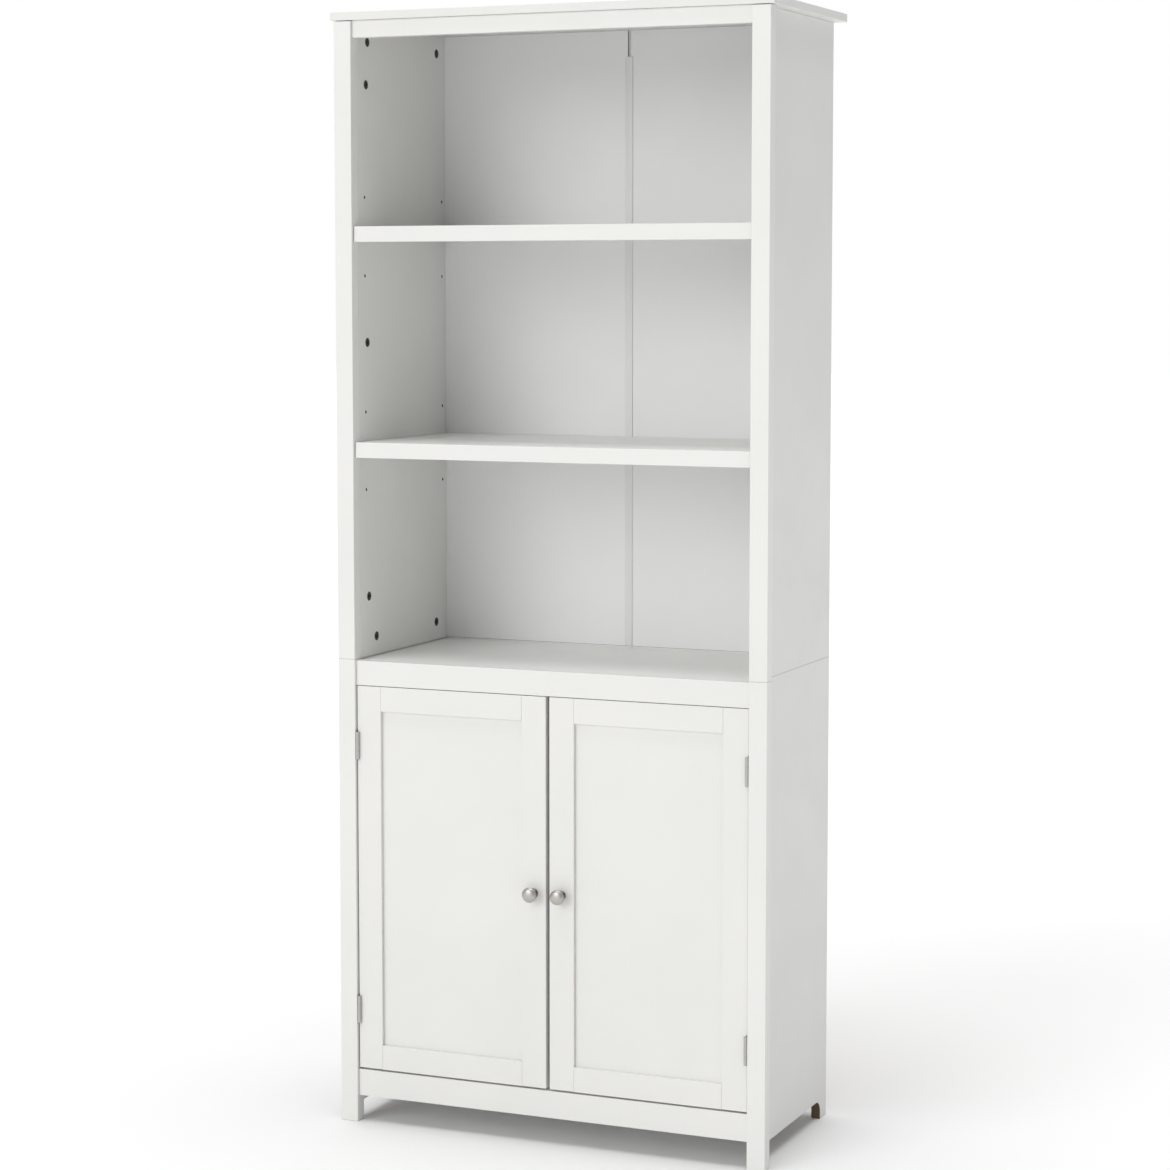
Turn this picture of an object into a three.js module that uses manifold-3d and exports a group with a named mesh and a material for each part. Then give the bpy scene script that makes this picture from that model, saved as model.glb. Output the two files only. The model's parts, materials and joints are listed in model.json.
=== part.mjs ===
// A tall white bookcase: three open compartments above a cabinet with two inset doors.
// Lengths are in millimetres. X runs to the right, Y from the front to the back and Z up.
// The pieces are set out from the middle of the width, the front face of the posts and the floor.
import * as THREE from "three";
import { mergeVertices } from "three/addons/utils/BufferGeometryUtils.js";
import Module from "manifold-3d";

const wasm = await Module();
wasm.setup();

// The case as a whole. The body is measured over the outer faces of the posts.
const overallHeight = 1800;
const bodyWidth = 738;
const sideDepth = 342;
const lowerHeight = 764;

// Clearances. Boards that are screwed together stand a hair apart, and cuts overrun their face.
const fitGap = 0.3;
const cutOverrun = 1;

// Top panel, which laps a little over the case on each side.
const topThickness = 13;
const topSideOverhang = 6;
const topFrontOverhang = 1;
const topBackOverhang = 5;

// Posts and side panels. The sides are flush with the inner faces of the posts, which end just below the top.
const postWidth = 30;
const postDepth = 22;
const postTopGap = 1.2;
const sideThickness = 15;

// The lower side is cut away at the floor, between the post and a foot at the back.
const cutawayHeight = 32;
const backFootDepth = 30;
const cutawayFillet = 20;

// Rails, lippings and doors lie in one plane, set back from the front of the posts.
const frontRecess = 5;
const frontBoardThickness = 15;
const topRailHeight = 27;
const cabinetRailHeight = 40;
const apronHeight = 44;
const apronRise = 43;

// Fixed boards of the cabinet. Its top lies a little below the seam of the two sections.
const cabinetBoardThickness = 15;
const cabinetTopDrop = 2;
const cabinetBoardEndGap = 0.9;

// Adjustable shelves. The shares say how far up its compartment each shelf's top face lies.
const shelfThickness = 12;
const lippingHeight = 25;
const shelfEndGap = 1.3;
const upperShelfShare = 0.682;
const middleShelfShare = 0.344;
const cabinetShelfShare = 0.51;
const cabinetShelfSetback = 5;

// Shelf pins and their blind holes, in three heights for each shelf.
const pinRadius = 2.5;
const pinShank = 8;
const pinHeadRadius = 3.5;
const pinHeadLength = 8;
const pinHoleDepth = 9;
const pinHoleClearance = 0.15;
const pinHoleSpacing = 63;
const pinFrontInset = 45;
const pinBackInset = 14;

// Round bores for the cam locks, with their distance from the board's edge and from its ends.
const camRadius = 7.5;
const camBoreDepth = 12;
const camSetback = 30;
const camEndDistance = 98;
const topCamFrontInset = 58;
const topCamBackInset = 31;
const seamCamFrontInset = 78;
const seamCamBackInset = 41;

// Thin back boards, and the H-shaped strip that joins the two upper ones.
const backThickness = 3;
const backEdgeInset = 2;
const backJointGap = 5.5;
const stripWidth = 13;
const stripFlange = 1;
const stripTopDrop = 43;

// Doors: a frame of stiles and rails, grooved to hold a thin panel.
const doorThickness = 15;
const doorTopGap = 1;
const doorBottomGap = 3;
const doorCentreGap = 6;
const stileWidth = 42;
const doorRailHeight = 40;
const panelThickness = 5;
const panelRecess = 6;
const panelTongue = 6;
const grooveDepth = 7;

// Butt hinges. The knuckle stands in front of the door, beside the inner face of the post. The post's
// leaf lies on the post, and the door's leaf is let into the stile, in a mortise cut a little long.
const hingeHeight = 45;
const hingeInset = 75;
const knuckleRadius = 2.8;
const knuckleBore = 1.48;
const hingePinRadius = 1.4;
const knuckleFaceGap = 0.4;
const leafThickness = 0.9;
const leafDepth = 14;
const leafSeatGap = 0.2;
const leafGap = 0.4;
const leafScrewRadius = 1.7;
const leafScrewInset = 8;
const mortiseDepth = 1;
const mortiseTopGap = 2.5;
const mortiseBottomGap = 0.4;

// Knobs, each held by a machine screw from the back of the door.
const knobProjection = 24;
const knobHeadRadius = 12;
const knobRimHeight = 18.5;
const knobRimThickness = 1;
const knobNeckRadius = 5.2;
const knobNeckHeight = 7;
const knobBaseRadius = 7.6;
const knobBaseThickness = 2;
const knobHoleDepth = 11;
const screwRadius = 2;
const screwClearance = 0.3;
const threadClearance = 0.1;
const screwHeadRadius = 4.4;
const screwHeadThickness = 2.2;
const screwEngagement = 9;

// Magnetic catch on the cabinet floor, and the strike plates that it holds.
const catchDepth = 15;
const catchBodyWidth = 40;
const catchBaseWidth = 58;
const catchBaseThickness = 2.5;
const catchHeight = 13;
const strikeWidth = 18;
const strikeHeight = 12;
const strikeThickness = 1;
const strikeEdgeInset = 1.5;
const strikeBottomInset = 2;

// How finely the round pieces are divided.
const holeSegments = 16;
const camSegments = 20;
const turnedSegments = 24;
const pinSegments = 12;
const domeSteps = 6;
const filletSteps = 8;

// Planes and levels that the pieces share.
const bodyHalf = bodyWidth / 2;
const openingHalf = bodyHalf - postWidth;
const boardHalf = openingHalf - fitGap;
const cabinetBoardHalf = openingHalf - cabinetBoardEndGap;
const shelfHalf = openingHalf - shelfEndGap;
const topUnderside = overallHeight - topThickness;
const upperTop = topUnderside - fitGap;
const postTop = topUnderside - postTopGap;
const upperBottom = lowerHeight + fitGap;
const frontBoardBack = frontRecess + frontBoardThickness;
const boardFront = frontBoardBack + fitGap;
const boardBack = sideDepth - fitGap;
const sideFront = postDepth + fitGap;
const backFront = sideDepth + fitGap;
const backBack = backFront + backThickness;
const backHalf = openingHalf + sideThickness - backEdgeInset;
const stripFront = backFront - fitGap - stripFlange;
const shelfBack = stripFront - fitGap;
const cabinetTopLevel = lowerHeight - cabinetTopDrop;
const cabinetTopUnderside = cabinetTopLevel - cabinetBoardThickness;
const cabinetRailBottom = cabinetTopLevel - cabinetRailHeight;
const floorLevel = apronRise + apronHeight;
const floorUnderside = floorLevel - cabinetBoardThickness;

// Levels of the three adjustable shelves.
const openHeight = topUnderside - lowerHeight;
const upperShelfTop = lowerHeight + openHeight * upperShelfShare;
const middleShelfTop = lowerHeight + openHeight * middleShelfShare;
const cabinetShelfTop = floorLevel + (cabinetTopUnderside - floorLevel) * cabinetShelfShare;

// The door's outline, and the axis that its hinges share.
const mortiseFloor = openingHalf - 2 * (leafThickness + leafSeatGap) - leafGap;
const doorHingeEdge = mortiseFloor + mortiseDepth;
const doorFreeEdge = doorCentreGap / 2;
const doorWidth = doorHingeEdge - doorFreeEdge;
const doorBottom = floorLevel + doorBottomGap;
const doorTop = cabinetRailBottom - doorTopGap;
const doorHeight = doorTop - doorBottom;
const doorBack = frontRecess + doorThickness;
const hingeAxisX = openingHalf - fitGap - knuckleRadius;
const hingeAxisY = frontRecess - knuckleFaceGap - knuckleRadius;
const knuckleLength = hingeHeight / 3;

// Finishes.
function whitePaint() {
  return new THREE.MeshStandardMaterial({ color: 0xecebe7, roughness: 0.4, metalness: 0 });
}

function whiteBoard() {
  return new THREE.MeshStandardMaterial({ color: 0xe2e3e3, roughness: 0.5, metalness: 0 });
}

function whitePlastic() {
  return new THREE.MeshStandardMaterial({ color: 0xdededc, roughness: 0.45, metalness: 0 });
}

function satinNickel() {
  return new THREE.MeshStandardMaterial({ color: 0xa9a59c, roughness: 0.32, metalness: 1 });
}

function paleSteel() {
  return new THREE.MeshStandardMaterial({ color: 0xc9c8c2, roughness: 0.38, metalness: 1 });
}

// Helpers for the geometry.
function namedMesh(name, geometry, material) {
  const mesh = new THREE.Mesh(geometry, material);
  mesh.name = name;
  return mesh;
}

// A rectangular block between two planes along each axis.
function blockGeometry([left, right], [front, back], [bottom, top]) {
  const geometry = new THREE.BoxGeometry(right - left, back - front, top - bottom);
  return geometry.translate((left + right) / 2, (front + back) / 2, (bottom + top) / 2);
}

// A rectangular board as a mesh of its own, placed at its middle.
function board(name, [left, right], [front, back], [bottom, top], material = whitePaint()) {
  const mesh = namedMesh(name, new THREE.BoxGeometry(right - left, back - front, top - bottom), material);
  mesh.position.set((left + right) / 2, (front + back) / 2, (bottom + top) / 2);
  return mesh;
}

// A closed geometry as a solid that can be cut and joined.
function toSolid(geometry) {
  const bare = geometry.clone();
  bare.deleteAttribute("normal");
  bare.deleteAttribute("uv");
  const merged = mergeVertices(bare);
  const vertProperties = merged.getAttribute("position").array;
  const triVerts = Uint32Array.from(merged.index.array);
  return new wasm.Manifold(new wasm.Mesh({ numProp: 3, vertProperties, triVerts }));
}

function toGeometry(solid) {
  const { vertProperties, triVerts } = solid.getMesh();
  const geometry = new THREE.BufferGeometry();
  geometry.setAttribute("position", new THREE.BufferAttribute(vertProperties, 3));
  geometry.setIndex(new THREE.BufferAttribute(triVerts, 1));
  const faceted = geometry.toNonIndexed();
  faceted.computeVertexNormals();
  return faceted;
}

function cut(geometry, cutters) {
  const solid = cutters.reduce((rest, cutter) => rest.subtract(toSolid(cutter)), toSolid(geometry));
  return toGeometry(solid);
}

function join(geometries) {
  return toGeometry(geometries.map(toSolid).reduce((whole, piece) => whole.add(piece)));
}

// Cylinders along each axis, centred on the origin.
function cylinderAlongX(radius, length, segments) {
  return new THREE.CylinderGeometry(radius, radius, length, segments).rotateZ(Math.PI / 2);
}

function cylinderAlongY(radius, length, segments) {
  return new THREE.CylinderGeometry(radius, radius, length, segments);
}

function cylinderAlongZ(radius, length, segments) {
  return new THREE.CylinderGeometry(radius, radius, length, segments).rotateX(Math.PI / 2);
}

// A turned piece whose axis is Y, from profile points of radius and height.
function turned(profile, segments) {
  const points = profile.map(([radius, height]) => new THREE.Vector2(radius, height));
  return new THREE.LatheGeometry(points, segments);
}

// Heights of a shelf's three pairs of pin holes: the pins in use are in the middle one.
function pinLevel(shelfTop) {
  return shelfTop - shelfThickness - fitGap - pinHeadRadius;
}

function pinHoles(shelfTop) {
  const holes = [];
  for (const step of [-1, 0, 1]) {
    for (const y of [pinFrontInset, sideDepth - pinBackInset]) {
      const z = pinLevel(shelfTop) + step * pinHoleSpacing;
      holes.push({ radius: pinRadius + pinHoleClearance, depth: pinHoleDepth, segments: holeSegments, y, z });
    }
  }
  return holes;
}

// A bore for a cam lock, and the three that hold a post to the front edge of its side panel.
function camBore(y, z) {
  return { radius: camRadius, depth: camBoreDepth, segments: camSegments, y, z };
}

function postCams(bottom, top) {
  const lowest = bottom + camEndDistance;
  const highest = top - camEndDistance;
  return [lowest, (lowest + highest) / 2, highest].map((z) => camBore(sideFront + camSetback, z));
}

// A side panel from its outline in Y and Z, with blind holes in its inner face.
function sidePanel(name, outline, holes) {
  const extruded = new THREE.ExtrudeGeometry(outline, {
    depth: sideThickness,
    bevelEnabled: false,
    curveSegments: filletSteps,
  });
  const across = new THREE.Vector3(0, 1, 0);
  const upwards = new THREE.Vector3(0, 0, 1);
  const outwards = new THREE.Vector3(1, 0, 0);
  extruded.applyMatrix4(new THREE.Matrix4().makeBasis(across, upwards, outwards));
  const cutters = holes.map(({ radius, depth, segments, y, z }) => {
    const drill = cylinderAlongX(radius, depth + cutOverrun, segments);
    return drill.translate((depth - cutOverrun) / 2, y, z);
  });
  const mesh = namedMesh(name, cut(extruded, cutters), whitePaint());
  mesh.position.x = openingHalf;
  return mesh;
}

function upperSideOutline() {
  const outline = new THREE.Shape();
  outline.moveTo(sideFront, upperBottom);
  outline.lineTo(sideDepth, upperBottom);
  outline.lineTo(sideDepth, upperTop);
  outline.lineTo(sideFront, upperTop);
  return outline;
}

function lowerSideOutline() {
  const footFront = sideDepth - backFootDepth;
  const outline = new THREE.Shape();
  outline.moveTo(sideFront, cutawayHeight);
  outline.lineTo(footFront - cutawayFillet, cutawayHeight);
  outline.absarc(
    footFront - cutawayFillet,
    cutawayHeight - cutawayFillet,
    cutawayFillet,
    Math.PI / 2,
    0,
    true,
  );
  outline.lineTo(footFront, 0);
  outline.lineTo(sideDepth, 0);
  outline.lineTo(sideDepth, lowerHeight);
  outline.lineTo(sideFront, lowerHeight);
  return outline;
}

// One side of the upper section: side panel, post and half of the back.
function upperHalf(side) {
  const seamCamLevel = upperBottom + camSetback;
  const topCamLevel = upperTop - camSetback;
  const holes = [
    ...pinHoles(upperShelfTop),
    ...pinHoles(middleShelfTop),
    ...postCams(upperBottom, upperTop),
    camBore(topCamFrontInset, topCamLevel),
    camBore(sideDepth - topCamBackInset, topCamLevel),
    camBore(seamCamFrontInset, seamCamLevel),
    camBore(sideDepth - seamCamBackInset, seamCamLevel),
  ];
  return [
    sidePanel(`upper_side_${side}`, upperSideOutline(), holes),
    board(`upper_post_${side}`, [openingHalf, bodyHalf], [0, postDepth], [upperBottom, postTop]),
    board(
      `upper_back_${side}`,
      [backJointGap / 2, backHalf],
      [backFront, backBack],
      [upperBottom, upperTop],
      whiteBoard(),
    ),
  ];
}

// One side of the lower section: side panel with its back foot, and the post that is the front leg.
function lowerHalf(side) {
  const holes = [...pinHoles(cabinetShelfTop), ...postCams(cutawayHeight, lowerHeight)];
  return [
    sidePanel(`lower_side_${side}`, lowerSideOutline(), holes),
    board(`lower_post_${side}`, [openingHalf, bodyHalf], [0, postDepth], [0, lowerHeight]),
  ];
}

// A shelf pin: a shank in the side panel, and a thicker head that the shelf lies on.
function shelfPin(name, shelfTop, y) {
  const profile = [
    [0, -pinShank],
    [pinRadius, -pinShank],
    [pinRadius, fitGap],
    [pinHeadRadius, fitGap],
    [pinHeadRadius, fitGap + pinHeadLength],
    [0, fitGap + pinHeadLength],
  ];
  const mesh = namedMesh(name, turned(profile, pinSegments), satinNickel());
  mesh.rotation.z = Math.PI / 2;
  mesh.position.set(openingHalf, y, pinLevel(shelfTop));
  return mesh;
}

// The two pins that carry one end of a shelf.
function shelfPins(shelf, shelfTop, side) {
  return [
    shelfPin(`${shelf}_pin_${side}_front`, shelfTop, pinFrontInset),
    shelfPin(`${shelf}_pin_${side}_back`, shelfTop, sideDepth - pinBackInset),
  ];
}

// An open shelf: a thin board and the taller lipping along its front edge.
function openShelf(shelf, shelfTop) {
  const underside = shelfTop - shelfThickness;
  const lippingBottom = shelfTop - lippingHeight;
  return [
    board(shelf, [-shelfHalf, shelfHalf], [boardFront, shelfBack], [underside, shelfTop]),
    board(
      `${shelf}_lipping`,
      [-shelfHalf, shelfHalf],
      [frontRecess, frontBoardBack],
      [lippingBottom, shelfTop],
    ),
  ];
}

// The H-shaped strip, extruded upwards between the two upper back boards. It stops short of the top,
// apart from its rear flange, which closes the joint from behind.
function backJointStrip() {
  const flangeHalf = stripWidth / 2;
  const webHalf = backJointGap / 2 - fitGap;
  const webFront = stripFront + stripFlange;
  const webBack = backBack + fitGap;
  const stripBack = webBack + stripFlange;
  const outline = new THREE.Shape();
  outline.moveTo(-flangeHalf, stripFront);
  outline.lineTo(flangeHalf, stripFront);
  outline.lineTo(flangeHalf, webFront);
  outline.lineTo(webHalf, webFront);
  outline.lineTo(webHalf, webBack);
  outline.lineTo(flangeHalf, webBack);
  outline.lineTo(flangeHalf, stripBack);
  outline.lineTo(-flangeHalf, stripBack);
  outline.lineTo(-flangeHalf, webBack);
  outline.lineTo(-webHalf, webBack);
  outline.lineTo(-webHalf, webFront);
  outline.lineTo(-flangeHalf, webFront);
  const stripBottom = upperBottom + fitGap;
  const depth = topUnderside - stripTopDrop - stripBottom;
  const section = new THREE.ExtrudeGeometry(outline, { depth, bevelEnabled: false });
  const rearFlange = blockGeometry(
    [-flangeHalf, flangeHalf],
    [webBack, stripBack],
    [0, upperTop - stripBottom],
  );
  const mesh = namedMesh("back_joint_strip", join([section, rearFlange]), whitePlastic());
  mesh.position.z = stripBottom;
  return mesh;
}

// One door, set out from its hinge axis: X runs outwards from the axis to the post's side.
function door(side) {
  const hingeEdge = doorHingeEdge - hingeAxisX;
  const freeEdge = doorFreeEdge - hingeAxisX;
  const front = frontRecess - hingeAxisY;
  const back = front + doorThickness;
  const grooveFront = front + panelRecess - fitGap;
  const grooveBack = front + panelRecess + panelThickness + fitGap;
  const innerHinge = hingeEdge - stileWidth;
  const innerFree = freeEdge + stileWidth;
  const lowerInner = doorBottom + doorRailHeight;
  const upperInner = doorTop - doorRailHeight;
  const tenon = grooveDepth - fitGap;

  const mortises = hingeLevels().map(([, z]) =>
    blockGeometry(
      [hingeEdge - mortiseDepth, hingeEdge + cutOverrun],
      [front - cutOverrun, back + cutOverrun],
      [z - hingeHeight / 2 - mortiseBottomGap, z + hingeHeight / 2 + mortiseTopGap],
    ),
  );
  const hingeStile = cut(blockGeometry([innerHinge, hingeEdge], [front, back], [doorBottom, doorTop]), [
    blockGeometry(
      [innerHinge - cutOverrun, innerHinge + grooveDepth],
      [grooveFront, grooveBack],
      [doorBottom - cutOverrun, doorTop + cutOverrun],
    ),
    ...mortises,
  ]);
  const knobHole = cylinderAlongY(screwRadius + screwClearance, doorThickness + cutOverrun, holeSegments);
  knobHole.translate(freeEdge + stileWidth / 2, front + doorThickness / 2, doorBottom + doorHeight / 2);
  const lockStile = cut(blockGeometry([freeEdge, innerFree], [front, back], [doorBottom, doorTop]), [
    blockGeometry(
      [innerFree - grooveDepth, innerFree + cutOverrun],
      [grooveFront, grooveBack],
      [doorBottom - cutOverrun, doorTop + cutOverrun],
    ),
    knobHole,
  ]);

  // A rail is grooved on the edge that faces the panel, and its ends carry tenons as thick as the panel.
  function rail(name, bottom, top, grooveBottom, grooveTop) {
    const body = blockGeometry([innerFree + fitGap, innerHinge - fitGap], [front, back], [bottom, top]);
    const tongue = blockGeometry(
      [innerFree - tenon, innerHinge + tenon],
      [grooveFront + fitGap, grooveBack - fitGap],
      [bottom, top],
    );
    const groove = blockGeometry(
      [innerFree - grooveDepth, innerHinge + grooveDepth],
      [grooveFront, grooveBack],
      [grooveBottom, grooveTop],
    );
    return namedMesh(name, cut(join([body, tongue]), [groove]), whitePaint());
  }

  const panel = board(
    `${side}_door_panel`,
    [innerFree - panelTongue, innerHinge + panelTongue],
    [front + panelRecess, front + panelRecess + panelThickness],
    [lowerInner - panelTongue, upperInner + panelTongue],
  );

  const group = new THREE.Group();
  group.position.set(hingeAxisX, hingeAxisY, 0);
  group.add(
    namedMesh(`${side}_door_hinge_stile`, hingeStile, whitePaint()),
    namedMesh(`${side}_door_lock_stile`, lockStile, whitePaint()),
    rail(
      `${side}_door_bottom_rail`,
      doorBottom,
      lowerInner,
      lowerInner - grooveDepth,
      lowerInner + cutOverrun,
    ),
    rail(`${side}_door_top_rail`, upperInner, doorTop, upperInner - cutOverrun, upperInner + grooveDepth),
    panel,
    knob(side, freeEdge + stileWidth / 2, front),
    knobScrew(side, freeEdge + stileWidth / 2, back),
    strikePlate(side, freeEdge, back),
  );
  for (const [level, z] of hingeLevels()) {
    group.add(doorLeaf(`${side}_${level}_hinge_door_leaf`, z));
  }
  return group;
}

// The knob is turned about the screw: a small base, a neck and a low domed head.
function knob(side, x, doorFace) {
  const length = knobProjection - fitGap;
  const boreRadius = screwRadius + threadClearance;
  const dome = [];
  for (let step = 0; step <= domeSteps; step += 1) {
    const angle = ((Math.PI / 2) * step) / domeSteps;
    dome.push([
      knobHeadRadius * Math.cos(angle),
      knobRimHeight + (length - knobRimHeight) * Math.sin(angle),
    ]);
  }
  dome[domeSteps][0] = 0;
  const flare = [];
  for (let step = 0; step <= domeSteps; step += 1) {
    const angle = ((Math.PI / 2) * step) / domeSteps;
    const reach = 1 - Math.cos(angle);
    const rise = Math.sin(angle);
    const flareTop = knobRimHeight - knobRimThickness;
    flare.push([
      knobNeckRadius + (knobHeadRadius - knobNeckRadius) * reach,
      knobNeckHeight + (flareTop - knobNeckHeight) * rise,
    ]);
  }
  const profile = [
    [0, knobHoleDepth],
    [boreRadius, knobHoleDepth],
    [boreRadius, 0],
    [knobBaseRadius, 0],
    [knobBaseRadius, knobBaseThickness],
    ...flare,
    ...dome,
  ];
  const mesh = namedMesh(`${side}_knob`, turned(profile, turnedSegments), satinNickel());
  mesh.rotation.x = Math.PI;
  mesh.position.set(x, doorFace - fitGap, doorBottom + doorHeight / 2);
  return mesh;
}

// The machine screw lies along Y, with its head on the back of the door.
function knobScrew(side, x, doorRear) {
  const shank = doorThickness + fitGap + screwEngagement;
  const profile = [
    [0, -shank],
    [screwRadius, -shank],
    [screwRadius, fitGap],
    [screwHeadRadius, fitGap],
    [screwHeadRadius, fitGap + screwHeadThickness],
    [0, fitGap + screwHeadThickness],
  ];
  const mesh = namedMesh(`${side}_knob_screw`, turned(profile, holeSegments), paleSteel());
  mesh.position.set(x, doorRear, doorBottom + doorHeight / 2);
  return mesh;
}

function strikePlate(side, freeEdge, doorRear) {
  const left = freeEdge + strikeEdgeInset;
  const bottom = doorBottom + strikeBottomInset;
  return board(
    `${side}_strike_plate`,
    [left, left + strikeWidth],
    [doorRear + leafSeatGap, doorRear + leafSeatGap + strikeThickness],
    [bottom, bottom + strikeHeight],
    paleSteel(),
  );
}

// Middle heights of the two hinges of a door.
function hingeLevels() {
  const reach = hingeInset + hingeHeight / 2;
  return [
    ["lower", doorBottom + reach],
    ["upper", doorTop - reach],
  ];
}

// A leaf's plate with its two screw holes, set out from the hinge axis and the middle of its height.
function leafPlate(inner) {
  const front = knuckleRadius + knuckleFaceGap;
  const half = hingeHeight / 2;
  const plate = blockGeometry([inner, inner + leafThickness], [front, front + leafDepth], [-half, half]);
  const holes = [-1, 1].map((end) => {
    const hole = cylinderAlongX(leafScrewRadius, leafThickness + 2 * cutOverrun, holeSegments);
    return hole.translate(inner + leafThickness / 2, front + leafDepth / 2, end * (half - leafScrewInset));
  });
  return cut(plate, holes);
}

// The post's leaf has the outer two knuckles and the fixed pin between them.
function postLeaf(name, z) {
  const inner = openingHalf - hingeAxisX - leafSeatGap - leafThickness;
  const front = knuckleRadius + knuckleFaceGap;
  const pin = cylinderAlongZ(hingePinRadius, hingeHeight - knuckleLength, turnedSegments);
  const pieces = [leafPlate(inner), pin];
  for (const end of [-1, 1]) {
    const outer = (end * hingeHeight) / 2;
    const near = (end * (knuckleLength + fitGap)) / 2;
    const knuckle = cylinderAlongZ(knuckleRadius, Math.abs(outer - near), turnedSegments);
    const levels = [Math.min(outer, near), Math.max(outer, near)];
    pieces.push(knuckle.translate(0, 0, (outer + near) / 2));
    pieces.push(blockGeometry([inner, inner + leafThickness], [0, front + leafThickness], levels));
  }
  const mesh = namedMesh(name, join(pieces), paleSteel());
  mesh.position.set(hingeAxisX, hingeAxisY, z);
  return mesh;
}

// The door's leaf has the middle knuckle, bored to turn on the pin.
function doorLeaf(name, z) {
  const inner = mortiseFloor - hingeAxisX + leafSeatGap;
  const front = knuckleRadius + knuckleFaceGap;
  const half = (knuckleLength - fitGap) / 2;
  const tabFront = (knuckleRadius + knuckleBore) / 2;
  const solid = join([
    leafPlate(inner),
    blockGeometry([inner, inner + leafThickness], [tabFront, front + leafThickness], [-half, half]),
    cylinderAlongZ(knuckleRadius, knuckleLength - fitGap, turnedSegments),
  ]);
  const bore = cylinderAlongZ(knuckleBore, knuckleLength + cutOverrun, turnedSegments);
  const mesh = namedMesh(name, cut(solid, [bore]), paleSteel());
  mesh.position.z = z;
  return mesh;
}

// The catch is extruded from front to back: a magnet housing on a screwed base.
function magneticCatch() {
  const baseHalf = catchBaseWidth / 2;
  const bodyHalfWidth = catchBodyWidth / 2;
  const outline = new THREE.Shape();
  outline.moveTo(-baseHalf, 0);
  outline.lineTo(baseHalf, 0);
  outline.lineTo(baseHalf, catchBaseThickness);
  outline.lineTo(bodyHalfWidth, catchBaseThickness);
  outline.lineTo(bodyHalfWidth, catchHeight);
  outline.lineTo(-bodyHalfWidth, catchHeight);
  outline.lineTo(-bodyHalfWidth, catchBaseThickness);
  outline.lineTo(-baseHalf, catchBaseThickness);
  const geometry = new THREE.ExtrudeGeometry(outline, { depth: catchDepth, bevelEnabled: false });
  const mesh = namedMesh("magnetic_catch", geometry.rotateX(Math.PI / 2), whitePlastic());
  const catchFront = doorBack + leafSeatGap + strikeThickness + fitGap;
  mesh.position.set(0, catchFront + catchDepth, floorLevel + fitGap);
  return mesh;
}

// The whole bookcase. What repeats on both sides is made for the right and mirrored for the left.
const bookcase = new THREE.Group();

bookcase.add(
  board(
    "top_panel",
    [-bodyHalf - topSideOverhang, bodyHalf + topSideOverhang],
    [-topFrontOverhang, sideDepth + topBackOverhang],
    [topUnderside, overallHeight],
  ),
  board(
    "top_rail",
    [-boardHalf, boardHalf],
    [frontRecess, frontBoardBack],
    [upperTop - topRailHeight, upperTop],
  ),
  ...openShelf("upper_shelf", upperShelfTop),
  ...openShelf("middle_shelf", middleShelfTop),
  backJointStrip(),
);

bookcase.add(
  board(
    "cabinet_top",
    [-cabinetBoardHalf, cabinetBoardHalf],
    [boardFront, boardBack],
    [cabinetTopUnderside, cabinetTopLevel],
  ),
  board(
    "cabinet_rail",
    [-boardHalf, boardHalf],
    [frontRecess, frontBoardBack],
    [cabinetRailBottom, cabinetTopLevel],
  ),
  board(
    "cabinet_floor",
    [-cabinetBoardHalf, cabinetBoardHalf],
    [boardFront, boardBack],
    [floorUnderside, floorLevel],
  ),
  board("apron", [-boardHalf, boardHalf], [frontRecess, frontBoardBack], [apronRise, floorLevel]),
  board(
    "cabinet_back",
    [-backHalf, backHalf],
    [backFront, backBack],
    [floorUnderside, lowerHeight],
    whiteBoard(),
  ),
  board(
    "cabinet_shelf",
    [-shelfHalf, shelfHalf],
    [doorBack + cabinetShelfSetback, shelfBack],
    [cabinetShelfTop - shelfThickness, cabinetShelfTop],
  ),
  magneticCatch(),
);

for (const [side, direction] of [
  ["left", -1],
  ["right", 1],
]) {
  const half = new THREE.Group();
  half.scale.x = direction;
  half.add(...upperHalf(side), ...lowerHalf(side), door(side));
  half.add(...shelfPins("upper_shelf", upperShelfTop, side));
  half.add(...shelfPins("middle_shelf", middleShelfTop, side));
  half.add(...shelfPins("cabinet_shelf", cabinetShelfTop, side));
  for (const [level, z] of hingeLevels()) {
    half.add(postLeaf(`${side}_${level}_hinge_post_leaf`, z));
  }
  bookcase.add(half);
}

// The origin is on the floor, in the middle of the width and of the depth over the knobs.
const frontmost = Math.min(frontRecess - knobProjection, -topFrontOverhang);
const rearmost = sideDepth + topBackOverhang;
bookcase.position.y = -(frontmost + rearmost) / 2;

const assembly = new THREE.Group();
assembly.add(bookcase);

export default assembly;
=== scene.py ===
"""The looks of a tall white bookcase: open shelves above a cabinet with two inset doors.

Everything is in metres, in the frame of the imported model: X to the right, Y to the back, Z up.
"""

import json
import math

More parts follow.
